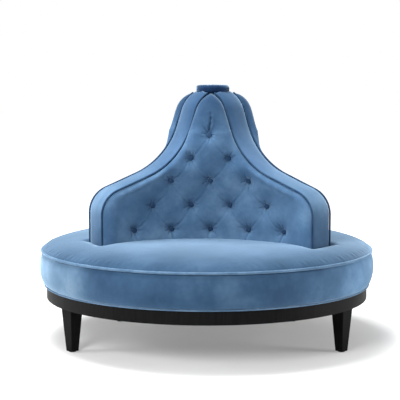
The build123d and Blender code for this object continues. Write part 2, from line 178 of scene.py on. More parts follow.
# Sizes of the cap
cap_r = 0.075
cap_foot_z = 1.1125
cap_top_z = 1.1520
cap_edge_r = 0.014
cap_edge_steps = 7
cap_foot_taper = 0.004
cap_crown = 0.002
cap_crown_shares = (0.8, 0.55, 0.28)
cap_spokes = 96

# Sizes that follow from those above
seat_foot_r = seat_r - seat_foot_set
band_foot_r = seat_r - band_foot_set
band_inner_r = seat_r - band_inner_set
welt_ring_r = band_foot_r - welt_r
fin_reach = seat_r - seat_ledge
sector = 360.0 / fin_count
half_sector = math.radians(sector / 2)
panel_least_depth = panel_set / 4
low_fold_lean = row_pitch / 3

# Colours of the nap, dark, between and pale, and the share of the noise at which each is full. The parts
# share one blue velvet, and its copies are lighter or darker as painted light and shade: the panel lighter,
# the ridges, seat and band darker, the buttons darker partly as painted shade of their pits, and the shaded
# piping darker as painted shade of the grooves beside the panels
nap_places = (0.34, 0.50, 0.68)
panel_nap = ((0.054, 0.119, 0.220), (0.076, 0.153, 0.266), (0.120, 0.216, 0.344))
ridge_nap = ((0.050, 0.106, 0.196), (0.064, 0.128, 0.228), (0.088, 0.162, 0.276))
seat_nap = ((0.022, 0.055, 0.106), (0.032, 0.073, 0.136), (0.052, 0.104, 0.182))
band_nap = ((0.020, 0.050, 0.102), (0.031, 0.072, 0.138), (0.058, 0.114, 0.194))
button_nap = ((0.012, 0.034, 0.080), (0.017, 0.044, 0.098), (0.026, 0.060, 0.125))
cord_nap = ((0.050, 0.098, 0.165), (0.066, 0.122, 0.200), (0.092, 0.158, 0.244))
shaded_cord_nap = ((0.018, 0.050, 0.108), (0.026, 0.066, 0.136), (0.042, 0.092, 0.174))
navy_nap = ((0.002, 0.012, 0.038), (0.003, 0.015, 0.048), (0.006, 0.024, 0.066))

# Painted light and shade that the nap's colour is multiplied by, by place in metres along an axis
even_tones = ((0, (1, 1, 1)), (1, (1, 1, 1)))
# Painted shade on the panels, darker towards their tops
panel_painted_shade = ((0.60, (1, 1, 1)), (0.88, (0.68, 0.73, 0.78)), (1.09, (0.24, 0.31, 0.38)))
# Painted shade on the seat, darker at its right end where the back shades it
seat_painted_shade = (
    (-0.76, (1, 1, 1)),
    (0.42, (1, 1, 1)),
    (0.72, (0.50, 0.56, 0.62)),
    (0.76, (0.50, 0.56, 0.62)),
)
# Painted light and shade on the ridges, lighter about the shoulders and slopes, darker low down and at the
# neck
ridge_painted_light_and_shade = (
    (0.50, (0.66, 0.70, 0.73)),
    (0.68, (1.4, 1.28, 1.16)),
    (0.84, (0.92, 0.93, 0.96)),
    (1.0, (0.38, 0.48, 0.56)),
)
# Painted sheen on the band, lighter towards both ends where it turns away to the sides
band_painted_sheen = (
    (-0.76, (3.8, 2.8, 2.2)),
    (-0.64, (3.2, 2.4, 1.9)),
    (-0.44, (1, 1, 1)),
    (0.15, (1, 1, 1)),
    (0.48, (1.45, 1.35, 1.3)),
    (0.66, (3.1, 2.7, 2.4)),
    (0.76, (3.8, 3.2, 2.8)),
)

# Painted shade in creases and painted highlight on crests, by the pointiness of the mesh
crease_points = (0.42, 0.58)
crease_painted_shade_and_highlight = (0.60, 1.20)

# The velvet's pile and the broader marks of use, as noise per metre and height in metres, and its sheen
pile_scale = 1400.0
pile_height = 0.0004
pile_strength = 0.25
crush_scale = 38.0
crush_height = 0.0012
crush_strength = 0.35
sheen_tint = (0.45, 0.65, 0.86, 1)

# Colours of the other finishes, dark and pale, and the grain's bump
black_stain = ((0.0025, 0.0025, 0.0028), (0.006, 0.006, 0.0065))
softwood = ((0.42, 0.27, 0.13), (0.66, 0.47, 0.27))
plywood = ((0.50, 0.35, 0.19), (0.68, 0.52, 0.32))
steel = ((0.45, 0.46, 0.47), (0.65, 0.66, 0.67))
black_plastic = ((0.010, 0.010, 0.010), (0.022, 0.022, 0.022))
black_cloth = ((0.008, 0.008, 0.008), (0.020, 0.020, 0.020))
floor_grey = ((0.69, 0.69, 0.69), (0.71, 0.71, 0.71))
grain_height = 0.0003
grain_strength = 0.12
floor_mottle_scale = 6.0

# The floor and the light of the room
floor_half = 30.0
near_glow = 0.20
far_glow = 0.85
glow_start = 0.55
glow_end = 1.9
world_light = 0.31

# Soft boxes by name: place, point that each faces, side in metres and power in watts
softboxes = {
    "top_softbox": ((-0.7, -0.4, 4.1), (0, 0, 0.5), 1.8, 258.0),
    "key_softbox": ((-1.6, -3.8, 2.3), (0, 0, 0.5), 1.3, 130.0),
    "left_softbox": ((-3.4, -0.6, 1.0), (0, 0, 0.4), 1.4, 66.0),
    "right_softbox": ((3.4, -0.8, 0.8), (0, 0, 0.4), 1.4, 66.0),
}

# The camera, with its dip in degrees and its lens in millimetres
camera_place = (-0.0301, -5.5, 1.202)
camera_dip = 5.93
camera_lens = 109.8
sensor_width = 36.0


def mesh_piece(name, points, faces, material):
    """A smooth closed mesh that rides on the frame."""
    mesh = bpy.data.meshes.new(name)
    mesh.from_pydata(np.asarray(points).tolist(), [], faces)
    mesh.shade_smooth()
    mesh.update()
    piece = bpy.data.objects.new(name, mesh)
    bpy.context.scene.collection.objects.link(piece)
    mesh.materials.append(material)
    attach(piece, "root")
    return piece


def placed(points, turn):
    """Turns points about the back's own middle and stands them where the back stands."""
    angle = math.radians(turn + back_turn)
    (x, y, z) = np.asarray(points).T
    across = x * math.cos(angle) - y * math.sin(angle) + back_shift
    return np.column_stack((across, x * math.sin(angle) + y * math.cos(angle), z))


def smooth(share):
    """A soft step from 0 to 1."""
    share = np.clip(share, 0, 1)
    return share * share * (3 - 2 * share)


def ripple(points, length, seed):
    """Slow waves over a surface, mostly between -1 and 1, the same on each run."""
    source = np.random.default_rng(seed)
    total = np.zeros(len(points))
    waves = 7
    for _ in range(waves):
        way = source.normal(size=3)
        way *= 2 * math.pi / length / np.linalg.norm(way)
        total += np.sin(points @ way + source.uniform(0, 2 * math.pi))
    return total / math.sqrt(waves)


# Faces


def grid_faces(number, rows, columns):
    """Quads over a grid, where number gives a point's number from its row and column."""
    cells = [(i, j) for i in range(rows - 1) for j in range(columns - 1)]
    return [(number(i, j), number(i, j + 1), number(i + 1, j + 1), number(i + 1, j)) for i, j in cells]


def tube_faces(start, rings, sides, closed=False):
    """Quads between rings of points that follow one another."""
    faces = []
    for i in range(rings if closed else rings - 1):
        (low, high) = (start + i * sides, start + (i + 1) % rings * sides)
        for k in range(sides):
            after = (k + 1) % sides
            faces.append((low + k, low + after, high + after, high + k))
    return faces


def foot_face(start, sides):
    """One face that closes the first ring of a tube."""
    return [start + k for k in reversed(range(sides))]


def capped_tube(rings, sides):
    """A tube that one face closes at each end."""
    end = (rings - 1) * sides
    return tube_faces(0, rings, sides) + [foot_face(0, sides), [end + k for k in range(sides)]]


def fan(start, sides, tip):
    """Triangles from a ring of points to one point."""
    return [(start + k, start + (k + 1) % sides, tip) for k in range(sides)]


def flipped(faces):
    """The same faces, seen from their other side."""
    return [tuple(reversed(face)) for face in faces]


# The bell outline of a fin


def straight(start, end, lean, step):
    """Rows down a straight stretch, without its end."""
    count = max(2, round(float(np.linalg.norm(end - start)) / step))
    return [(*(start + (end - start) * i / count), lean) for i in range(count)]


def bend(centre, radius, start, end, step):
    """Rows down an arc between two leans, without its end."""
    count = max(2, round(abs(radius * (end - start)) / step))
    leans = [start + (end - start) * i / count for i in range(count)]
    return [(centre[0] + radius * math.sin(a), centre[1] + radius * math.cos(a), a) for a in leans]


def bell_path(inset, foot, step, end_reach):
    """Rows of reach, height and lean of the outward normal, from the foot up to a reach near the top."""
    (shoulder, sweep, dome) = (shoulder_r - inset, sweep_r + inset, dome_r - inset)
    off_slope = np.array((math.sin(slope_angle), math.cos(slope_angle)))
    off_neck = np.array((math.sin(neck_angle), math.cos(neck_angle)))
    foot_point = np.array((fin_reach - inset, foot))
    shoulder_foot = np.array((fin_reach - inset, shoulder_z))
    shoulder_centre = np.array((fin_reach - shoulder_r, shoulder_z))
    slope_foot = shoulder_centre + shoulder * off_slope
    slope_top = slope_foot + slope_run * np.array((-off_slope[1], off_slope[0]))
    sweep_centre = slope_top + sweep * off_slope
    neck_foot = sweep_centre - sweep * off_neck
    neck_top = neck_foot + neck_run * np.array((-off_neck[1], off_neck[0]))
    dome_centre = neck_top - dome * off_neck
    rows = straight(foot_point, shoulder_foot, math.pi / 2, step)
    rows += bend(shoulder_centre, shoulder, math.pi / 2, slope_angle, step)
    rows += straight(slope_foot, slope_top, slope_angle, step)
    rows += bend(sweep_centre, -sweep, slope_angle, neck_angle, step)
    rows += straight(neck_foot, neck_top, neck_angle, step)
    rows += bend(dome_centre, dome, neck_angle, 0, step)
    path = np.array(rows)
    return path[path[:, 0] > end_reach]


panel_path = bell_path(panel_set, panel_foot_z, panel_step, panel_tip_reach)
ridge_path = bell_path(0, ridge_foot_z, ridge_step, ridge_end_reach)


# A tufted panel


def beside(reach, lateral):
    """Half width and depth of a plan point beside the fin to the right of a panel."""
    across = reach * math.sin(half_sector) - lateral * math.cos(half_sector)
    return across, reach * math.cos(half_sector) + lateral * math.sin(half_sector)


def row_shape(reach, height):
    """Depth of the middle, curvature and half length of one row of a panel."""
    across, depth = beside(reach, half_ridge + panel_edge_gap)
    rise = smooth((height - panel_low_z) / (panel_high_z - panel_low_z))
    hollow = panel_low + (panel_high - panel_low) * rise
    centre = np.minimum(hollow, depth + panel_bulge_share * across)
    sag = depth - centre
    curve = 2 * sag / (across**2 + sag**2)
    curve = np.where(np.abs(curve) < panel_flat_curve, panel_flat_curve, curve)
    return centre, curve, np.arcsin(np.clip(across * curve, -1, 1)) / curve


def on_front(along, reach, height):
    """A point on the plain front, by its way along the row from the middle."""
    centre, curve, _ = row_shape(reach, height)
    turn = curve * along
    forward = -centre - (1 - np.cos(turn)) / curve
    return np.stack((np.sin(turn) / curve, forward, height + 0 * turn), axis=-1)


def reach_of(height):
    """Reach of a panel's front from the post at one height."""
    return np.interp(height, panel_path[:, 1], panel_path[:, 0])


def spot(along, height):
    """Point and outward direction on the plain front of a panel."""
    probe = button_r / 4
    here = on_front(along, reach_of(height), height)
    side = on_front(along + probe, reach_of(height), height) - here
    up = on_front(along, reach_of(height + probe), height + probe) - here
    out = np.cross(side, up)
    return here, out / np.linalg.norm(out)


def button_spots():
    """Places of the buttons along and up a panel, row by row from the seat."""
    rows = []
    for row in range(button_rows):
        count = button_rows - row
        height = button_low_z + row * row_pitch
        rows.append([((i - (count - 1) / 2) * button_pitch, height) for i in range(count)])
    return rows


def all_spots():
    """The places of all the buttons of a panel in one list."""
    return [place for row in button_spots() for place in row]


def folds():
    """Places that the velvet is folded between, and shares of a fold's depth along it."""
    rows = button_spots()
    lines = []
    for lower, upper in zip(rows, rows[1:]):
        for i, place in enumerate(upper):
            lines.append((place, lower[i], fold_shares))
            lines.append((place, lower[i + 1], fold_shares))
    (along, height) = rows[-1][0]
    lines.append(((along, height + pleat_start), (along, height + row_pitch), pleat_shares))
    for along, height in rows[0]:
        lean = -math.copysign(low_fold_lean, along) if along else 0.0
        lines.append(((along, height), (along + lean, height - row_pitch), low_fold_shares))
    return lines


def fold_line(start, end):
    """Points of a fold that hangs a little below the straight line between two places."""
    share = np.linspace(0, 1, fold_steps)[:, None]
    (a, b) = (np.array(start), np.array(end))
    hang = np.array((b[1] - a[1], a[0] - b[0])) * math.copysign(1, b[0] - a[0])
    return a + (b - a) * share + fold_hang_share * 4 * share * (1 - share) * hang


def crease(along, height, line, width, strength):
    """Depth of a narrow crease down a line and height of the flanks beside it."""
    (depth, flank) = (np.zeros(along.shape), np.zeros(along.shape))
    for (a, b), (first, last) in zip(zip(line, line[1:]), zip(strength, strength[1:])):
        run = b - a
        share = np.clip(((along - a[0]) * run[0] + (height - a[1]) * run[1]) / float(run @ run), 0, 1)
        gap = np.hypot(along - a[0] - share * run[0], height - a[1] - share * run[1])
        here = first + (last - first) * share
        depth = np.maximum(depth, here * np.exp(-((gap / width) ** crease_power)))
        flank = np.maximum(flank, here * np.exp(-((gap / width - flank_place) ** 2)))
    return np.stack((depth, flank))


def pucker_lines():
    """Short creases that fan out from each button, the same on each run."""
    source = np.random.default_rng(pucker_seed)
    lines = []
    for place in all_spots():
        centre = np.array(place)
        first = source.uniform(0, 2 * math.pi)
        for k in range(pucker_count):
            turn = source.uniform(-pucker_turn_share, pucker_turn_share)
            angle = first + 2 * math.pi * (k + turn) / pucker_count
            reach = pucker_reach * source.uniform(*pucker_reach_shares)
            way = np.array((math.cos(angle), math.sin(angle)))
            bow = source.uniform(-pucker_bend_share, pucker_bend_share)
            side = np.array((-way[1], way[0])) * reach * bow
            middle = centre + way * (button_r + reach) / 2 + side
            line = [centre + way * button_r, middle, centre + way * reach]
            lines.append((line, pucker_depth * source.uniform(*pucker_depth_shares)))
    return lines


def tufting(along, height, half):
    """How far the velvet stands out from, or sinks into, the plain front."""
    folded = np.zeros((2,) + along.shape)
    share = np.linspace(0, 1, fold_steps)
    for start, end, shares in folds():
        strength = fold_depth * np.interp(share, (0, 0.5, 1), shares)
        folded = np.maximum(folded, crease(along, height, fold_line(start, end), fold_width, strength))
    for line, depth in pucker_lines():
        strength = [depth * part for part in pucker_fade_shares]
        folded = np.maximum(folded, crease(along, height, line, pucker_width, strength))
    (fold, flank) = folded
    bowl = np.zeros(along.shape)
    for place in all_spots():
        gap = np.hypot(along - place[0], height - place[1])
        bowl = bowl + bowl_depth * np.exp(-((gap / bowl_width) ** bowl_power))
        fold = fold + dimple_depth * np.exp(-((gap / dimple_width) ** dimple_power))
        flank = flank * (1 - np.exp(-((gap / flank_clear) ** 2)))
    to_edge = half - np.abs(along)
    margin = np.exp(-(((to_edge - margin_place) / margin_width) ** 2))
    roll = margin_roll * smooth(half / panel_tip_width) * margin
    groove = groove_depth * np.exp(-to_edge / groove_width)
    fade = smooth(to_edge / margin_fade)
    return (bowl_depth * puff_share - bowl - fold + flank_share * flank) * fade + roll - groove


def closed_sheet(front, back):
    """Points and faces of a sheet with a fine front grid and a back grid of fewer columns."""
    (rows, columns) = front.shape[:2]
    back_columns = back.shape[1]
    points = np.concatenate((front.reshape(-1, 3), back.reshape(-1, 3)))

    def front_at(i, j):
        return i * columns + j

    def back_at(i, j):
        return rows * columns + i * back_columns + j

    (end, back_end) = (columns - 1, back_columns - 1)
    faces = grid_faces(front_at, rows, columns) + flipped(grid_faces(back_at, rows, back_columns))
    for i in range(rows - 1):
        faces.append((front_at(i + 1, 0), back_at(i + 1, 0), back_at(i, 0), front_at(i, 0)))
    for i in range(rows - 1):
        (here, above) = (front_at(i, end), front_at(i + 1, end))
        faces.append((here, back_at(i, back_end), back_at(i + 1, back_end), above))
    for j in range(back_end):
        strip = range(j * back_column_step, (j + 1) * back_column_step + 1)
        top = rows - 1
        faces.append([back_at(0, j), back_at(0, j + 1)] + [front_at(0, k) for k in reversed(strip)])
        faces.append([back_at(top, j + 1), back_at(top, j)] + [front_at(top, k) for k in strip])
    return points, faces


def panel_sheet():
    """Points and faces of one hollow tufted panel, with folds, dimples and rolled margins."""
    (reach, height) = (panel_path[:, 0][:, None], panel_path[:, 1][:, None])
    share = np.linspace(-1, 1, panel_columns + 1)[None, :]
    half = row_shape(reach, height)[2]
    along = share * half
    plain = on_front(along, reach + 0 * along, height + 0 * along)
    out = np.cross(np.gradient(plain, axis=1), np.gradient(plain, axis=0))
    out /= np.linalg.norm(out, axis=2)[:, :, None]
    front = plain + out * tufting(along, height + 0 * along, half)[:, :, None]
    to_edge = half - np.abs(along)
    thick = panel_depth * smooth(to_edge / margin_place) + dimple_depth + fold_depth
    thick = thick * smooth(half / panel_tip_width) + panel_least_depth
    picks = slice(0, None, back_column_step)
    back = (plain - out * thick[:, :, None])[:, picks]
    return closed_sheet(front, back)


def make_panel(side, turn, sheet):
    """One tufted panel, turned to its side of the back."""
    points, faces = sheet
    piece = mesh_piece(f"tufted_panel_{side}", placed(points, turn), faces, velvet_panel)
    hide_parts(f"panel_pad_{side}")


def make_buttons(side, turn):
    """Covered buttons, domed, each pulled into its dimple."""
    rings = len(button_ring_shares)
    (points, faces) = ([], [])
    for place in all_spots():
        centre, out = spot(*place)
        side_way = np.cross((0, 0, 1), out)
        side_way /= np.linalg.norm(side_way)
        up_way = np.cross(out, side_way)
        low = centre - out * (button_sink + button_height)
        start = len(points)
        for radius, rise in button_ring_shares:
            for k in range(button_spokes):
                angle = 2 * math.pi * k / button_spokes
                arm = side_way * math.cos(angle) + up_way * math.sin(angle)
                points.append(low + arm * radius * button_r + out * rise * button_height)
        points.append(low + out * button_height)
        faces += tube_faces(start, rings, button_spokes)
        faces.append(foot_face(start, button_spokes))
        faces += fan(start + (rings - 1) * button_spokes, button_spokes, start + rings * button_spokes)
    piece = mesh_piece(f"covered_buttons_{side}", placed(points, turn), faces, velvet_button)
    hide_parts(f"panel_buttons_{side}")


# The ridges


def ridge_outline():
    """Section of a ridge as lateral place and depth below its outline."""
    (side_power, top_power) = ridge_swell_powers
    outline = []
    for i in range(ridge_columns + 1):
        lateral = (2 * i / ridge_columns - 1) * half_ridge
        swell = (1 - abs(lateral / half_ridge) ** side_power) ** top_power
        outline.append((lateral, ridge_edge_drop - (ridge_crown + ridge_edge_drop) * swell))
    outline += [(half_ridge - ridge_edge_drop / 2, ridge_side_drop), (ridge_base, ridge_depth)]
    outline += [(-ridge_base, ridge_depth), (-half_ridge + ridge_edge_drop / 2, ridge_side_drop)]
    return outline


def make_ridge(side, turn):
    """One smooth padded band over the edge of a fin."""
    outline = ridge_outline()
    points = []
    for reach, height, lean in ridge_path:
        for lateral, depth in outline:
            points.append((lateral, -(reach - depth * math.sin(lean)), height - depth * math.cos(lean)))
    points = np.array(points)
    points[:, 2] += ridge_wave * ripple(points, ridge_wave_length, len(side))
    faces = capped_tube(len(ridge_path), len(outline))
    piece = mesh_piece(f"ridge_band_{side}", placed(points, turn), faces, velvet_ridge)
    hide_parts(f"ridge_pad_{side}")


def make_ridge_cord(side, panel, hand, turn):
    """The covered cord along one edge of a ridge, to the left with hand -1 and to the right with 1."""
    points = []
    for reach, height, lean in ridge_path:
        for k in range(cord_sides):
            angle = 2 * math.pi * k / cord_sides
            lift = ridge_cord_r * math.sin(angle)
            lateral = hand * (half_ridge + panel_edge_gap) + ridge_cord_r * math.cos(angle)
            points.append((lateral, -(reach + lift * math.sin(lean)), height + lift * math.cos(lean)))
    faces = capped_tube(len(ridge_path), cord_sides)
    name = f"{side}_by_{panel}_panel"
    # The ridge cords take the darker copy of the piping velvet, as painted shade of their grooves
    piece = mesh_piece(f"piping_{name}", placed(points, turn), faces, velvet_shaded_cord)
    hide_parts(f"ridge_cord_{name}")


# The seat


def crown_z(radius):
    """Height of the seat's crown over a radius, steep at its edge and nearly flat inside."""
    share = np.clip(radius / seat_r, 0, 1)
    return seat_edge_z + crown_height * (1 - share**crown_power) ** (1 / crown_root)


def foot_outline():
    """Plan outline of the back where it meets the seat."""
    across, depth = beside(fin_reach, half_ridge)
    sag = depth - panel_low
    curve = 2 * sag / (across**2 + sag**2)
    half = math.asin(across * curve)
    angles = [half * (1 - 2 * k / foot_steps) for k in range(foot_steps + 1)]
    side = [(math.sin(a) / curve, -panel_low - (1 - math.cos(a)) / curve, 0) for a in angles]
    return np.concatenate([placed(side, -sector * i)[:, :2] for i in range(fin_count)])


def gap_to(outline, points):
    """Distance of plan points from an outline, negative within it."""
    nearest = np.full(len(points), np.inf)
    inside = np.zeros(len(points), dtype=bool)
    for (ax, ay), (bx, by) in zip(outline, np.roll(outline, -1, axis=0)):
        size = (bx - ax) ** 2 + (by - ay) ** 2
        share = np.clip(((points[:, 0] - ax) * (bx - ax) + (points[:, 1] - ay) * (by - ay)) / size, 0, 1)
        gap = np.hypot(points[:, 0] - ax - share * (bx - ax), points[:, 1] - ay - share * (by - ay))
        nearest = np.minimum(nearest, gap)
        crosses = (ay > points[:, 1]) != (by > points[:, 1])
        reach = ax + (points[:, 1] - ay) / (by - ay if by != ay else 1) * (bx - ax)
        inside ^= crosses & (points[:, 0] < reach)
    return np.where(inside, -nearest, nearest)


def seat_height(plan):
    """Height of the velvet over plan points, with the valley round the back, waves and gathers."""
    radius = np.hypot(plan[:, 0], plan[:, 1])
    gap = gap_to(foot_outline(), plan)
    valley = np.exp(-((np.maximum(gap, 0) / tuck_width) ** 2))
    height = crown_z(radius) - (tuck_depth * valley + hidden_drop * smooth(-gap / tuck_width))
    flat = np.column_stack((plan, 0 * height))
    waves = ripple(flat, seat_wave_length, seat_wave_seed)
    height += seat_wave * waves * smooth((seat_r - radius) / tuck_width)
    turn = np.arctan2(plan[:, 1], plan[:, 0])
    gathers = sum(np.cos(number * turn + number) for number in gather_counts) / len(gather_counts)
    return height + gather_height * gathers * np.exp(-(((radius - gather_r) / gather_width) ** 2))


def make_seat_top():
    """The crowned seat, drawn down in a soft valley round the foot of the back."""
    rings = round(seat_r / seat_ring_step)
    radii = seat_r * np.sin(np.linspace(0, math.pi / 2, rings + 1)[1:]) ** seat_ring_power
    angles = np.linspace(0, 2 * math.pi, seat_spokes, endpoint=False)
    (r, a) = (radii[:, None], angles[None, :])
    plan = np.column_stack(((r * np.cos(a)).ravel(), (r * np.sin(a)).ravel()))
    points = np.column_stack((plan, seat_height(plan)))
    foot = [(seat_foot_r * math.cos(t), seat_foot_r * math.sin(t), seat_foot_z) for t in angles]
    points = np.concatenate((points, foot, [(0, 0, crown_z(0) - tuck_depth - hidden_drop)]))
    middle = len(points) - 1
    faces = tube_faces(0, rings + 1, seat_spokes)
    faces += [((k + 1) % seat_spokes, k, middle) for k in range(seat_spokes)]
    faces.append([rings * seat_spokes + k for k in range(seat_spokes)])
    piece = mesh_piece("seat_top", points, faces, velvet_seat)
    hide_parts("seat_cover", "seat_foam")


def spun(name, profile, material, wave=0.0):
    """A closed profile of radius and height, turned about the seat's axis."""
    points = []
    for k in range(band_spokes):
        angle = 2 * math.pi * k / band_spokes
        points += [(r * math.cos(angle), r * math.sin(angle), z) for r, z in profile]
    points = np.array(points)
    if wave:
        radius = np.hypot(points[:, 0], points[:, 1])
        push = 1 + wave * ripple(points, band_wave_length, band_wave_seed) / radius
        points[:, 0] *= push
        points[:, 1] *= push
    faces = flipped(tube_faces(0, band_spokes, len(profile), closed=True))
    return mesh_piece(name, points, faces, material)


def make_seat_band():
    """The band round the seat, full in the middle and pinched in at its two seams."""
    profile = []
    for i in range(band_rows + 1):
        share = i / band_rows
        base = band_foot_r + (seat_r - seat_cord_r / 2 - band_foot_r) * share
        belly = band_belly * math.sin(math.pi * share) ** band_belly_power
        pinch = band_pinch * (math.exp(-share * band_pinch_rate) + math.exp(-(1 - share) * band_pinch_rate))
        profile.append((base + belly - pinch, band_foot_z + (band_top_z - band_foot_z) * share))
    profile += [(band_inner_r, band_top_z), (band_inner_r, band_foot_z)]
    piece = spun("seat_band", profile, velvet_band, wave=band_wave)
    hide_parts("seat_boxing")


def circle_profile(radius, height, cord_r):
    """Section of a round cord that runs round the seat."""
    turns = [2 * math.pi * k / cord_sides for k in range(cord_sides)]
    return [(radius + cord_r * math.cos(t), height + cord_r * math.sin(t)) for t in turns]


def make_seat_cords():
    """The cord over the band and the thin welt at its foot."""
    section = circle_profile(seat_r, seat_edge_z, seat_cord_r)
    piece = spun("seat_piping", section, velvet_cord)
    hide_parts("seat_cord")
    section = circle_profile(welt_ring_r, welt_z, welt_r)
    piece = spun("rim_welt", section, velvet_cord)
    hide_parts("seat_welt")


# The cap


def cap_profile():
    """Radius and height from the cap's foot, over its soft edge, to its crown."""
    brow = cap_top_z - cap_edge_r - cap_crown
    profile = [(cap_r - 2 * cap_edge_r, cap_foot_z), (cap_r - cap_foot_taper, cap_foot_z)]
    profile.append((cap_r - cap_crown / 2, (cap_foot_z + brow) / 2))
    for i in range(cap_edge_steps + 1):
        angle = math.pi / 2 * i / cap_edge_steps
        profile.append((cap_r - cap_edge_r * (1 - math.cos(angle)), brow + cap_edge_r * math.sin(angle)))
    crest = cap_r - cap_edge_r
    return profile + [(crest * share, cap_top_z - cap_crown * share**2) for share in cap_crown_shares]


def make_cap():
    """The small round cushion on top, with soft edges and a slight crown."""
    profile = cap_profile()
    turns = [2 * math.pi * k / cap_spokes for k in range(cap_spokes)]
    points = [(r * math.cos(t), r * math.sin(t), z) for r, z in profile for t in turns]
    points.append((0, 0, cap_top_z))
    faces = tube_faces(0, len(profile), cap_spokes)
    faces.append(foot_face(0, cap_spokes))
    faces += fan((len(profile) - 1) * cap_spokes, cap_spokes, len(points) - 1)
    piece = mesh_piece("cap_cushion", placed(points, 0), faces, velvet_navy)
    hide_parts("cap_pad")


# Materials


def fresh(name):
    """A material with its node tree and its main shader."""
    material = bpy.data.materials.new(name)
    material.use_nodes = True
    tree = material.node_tree
    return material, tree, tree.nodes["Principled BSDF"]


def add(tree, kind, **settings):
    """A shader node, with each setting given to its input or else to the node itself."""
    node = tree.nodes.new(kind)
    for key, value in settings.items():
        if key in node.inputs.keys():
            node.inputs[key].default_value = value
        else:
            setattr(node, key, value)
    return node


def noise(tree, scale, detail=3.0, roughness=0.55):
    """Noise laid out in metres over the object."""
    coordinates = add(tree, "ShaderNodeTexCoord")
    node = add(tree, "ShaderNodeTexNoise", Scale=scale, Detail=detail, Roughness=roughness)
    tree.links.new(coordinates.outputs["Object"], node.inputs["Vector"])
    return node.outputs["Fac"]


def grain(tree, stretch, scale, detail, roughness):
    """Noise that is drawn out along the height."""
    coordinates = add(tree, "ShaderNodeTexCoord")
    mapping = add(tree, "ShaderNodeMapping", Scale=stretch)
    node = add(tree, "ShaderNodeTexNoise", Scale=scale, Detail=detail, Roughness=roughness)
    tree.links.new(coordinates.outputs["Object"], mapping.inputs["Vector"])
    tree.links.new(mapping.outputs["Vector"], node.inputs["Vector"])
    return node.outputs["Fac"]


def ramp(tree, source, stops, interpolation="LINEAR"):
    """Colours along a factor, from a list of place and colour."""
    node = add(tree, "ShaderNodeValToRGB")
    elements = node.color_ramp.elements
    (elements[0].position, elements[1].position) = (stops[0][0], stops[-1][0])
    (elements[0].color, elements[1].color) = ((*stops[0][1], 1), (*stops[-1][1], 1))
    for place, colour in stops[1:-1]:
        elements.new(place).color = (*colour, 1)
    node.color_ramp.interpolation = interpolation
    tree.links.new(source, node.inputs["Fac"])
    return node.outputs["Color"]


def mapped(tree, source, span, result=(0.0, 1.0), **settings):
    """A value mapped from one span to another."""
    node = add(tree, "ShaderNodeMapRange", **settings)
    for key, value in zip(("From Min", "From Max", "To Min", "To Max"), (*span, *result)):
        node.inputs[key].default_value = value
    tree.links.new(source, node.inputs["Value"])
    return node.outputs["Result"]


def joined(tree, kind, operation, first, second):
    """A maths node of two linked values."""
    node = add(tree, kind, operation=operation)
    tree.links.new(first, node.inputs[0])
    tree.links.new(second, node.inputs["Scale" if operation == "SCALE" else 1])
    return node.outputs[0]


def bump(tree, height, strength, distance, under=None):
    """A bumped normal, on top of another one where it is given."""
    node = add(tree, "ShaderNodeBump", Strength=strength, Distance=distance)
    tree.links.new(height, node.inputs["Height"])
    if under:
        tree.links.new(under, node.inputs["Normal"])
    return node.outputs["Normal"]


def painted_light_by_place(tree, axis, tones):
    """Painted light and shade by place along an axis, divided by the strongest tone, and that strongest
    one.
    """
    place = add(tree, "ShaderNodeSeparateXYZ")
    coordinates = add(tree, "ShaderNodeTexCoord")
    tree.links.new(coordinates.outputs["Object"], place.inputs[0])
    (start, end) = (tones[0][0], tones[-1][0])
    span = mapped(tree, place.outputs[axis], (start, end))
    strongest = max(max(tone) for _, tone in tones)
    stops = [((at - start) / (end - start), tuple(part / strongest for part in tone)) for at, tone in tones]
    return ramp(tree, span, stops, "EASE"), strongest


def velvet(name, nap, patch, axis="Z", tones=even_tones, sheen=1.0):
    """Velvet with brushed patches of nap, a fine pile and a soft sheen, with painted light and shade along
    an axis, painted shade in creases and painted highlight on crests.
    """
    material, tree, shader = fresh(name)
    brushed = noise(tree, patch, detail=4.0, roughness=0.62)
    colour = ramp(tree, brushed, list(zip(nap_places, nap)))
    # Painted light and shade by place along the axis
    shade, strongest = painted_light_by_place(tree, axis, tones)
    painted_light_colour = joined(tree, "ShaderNodeVectorMath", "MULTIPLY", colour, shade)
    # Painted shade in creases and painted highlight on crests, from the mesh's pointiness
    geometry = add(tree, "ShaderNodeNewGeometry")
    crease_painted_span = [tone * strongest for tone in crease_painted_shade_and_highlight]
    crease_painted_light = mapped(tree, geometry.outputs["Pointiness"], crease_points, crease_painted_span)
    colour = joined(tree, "ShaderNodeVectorMath", "SCALE", painted_light_colour, crease_painted_light)
    tree.links.new(colour, shader.inputs["Base Color"])
    fine = noise(tree, pile_scale, detail=2.0)
    pile = bump(tree, fine, pile_strength, pile_height)
    broad = noise(tree, crush_scale, detail=5.0, roughness=0.6)
    crushed = bump(tree, broad, crush_strength, crush_height, pile)
    tree.links.new(crushed, shader.inputs["Normal"])
    shader.inputs["Roughness"].default_value = 0.85
    shader.inputs["Specular IOR Level"].default_value = 0.08
    shader.inputs["Sheen Weight"].default_value = sheen
    shader.inputs["Sheen Roughness"].default_value = 0.36
    shader.inputs["Sheen Tint"].default_value = sheen_tint
    return material


def black_wood():
    """Black stained wood with a faint open grain and satin lacquer."""
    material, tree, shader = fresh("black_stained_wood")
    lines = grain(tree, (60, 60, 4), scale=2.2, detail=6.0, roughness=0.65)
    colour = ramp(tree, lines, [(0.35, black_stain[0]), (0.7, black_stain[1])])
    tree.links.new(colour, shader.inputs["Base Color"])
    shine = ramp(tree, lines, [(0.3, (0.36, 0.36, 0.36)), (0.7, (0.5, 0.5, 0.5))])
    tree.links.new(shine, shader.inputs["Roughness"])
    shader.inputs["Specular IOR Level"].default_value = 0.05
    tree.links.new(bump(tree, lines, grain_strength, grain_height), shader.inputs["Normal"])
    return material


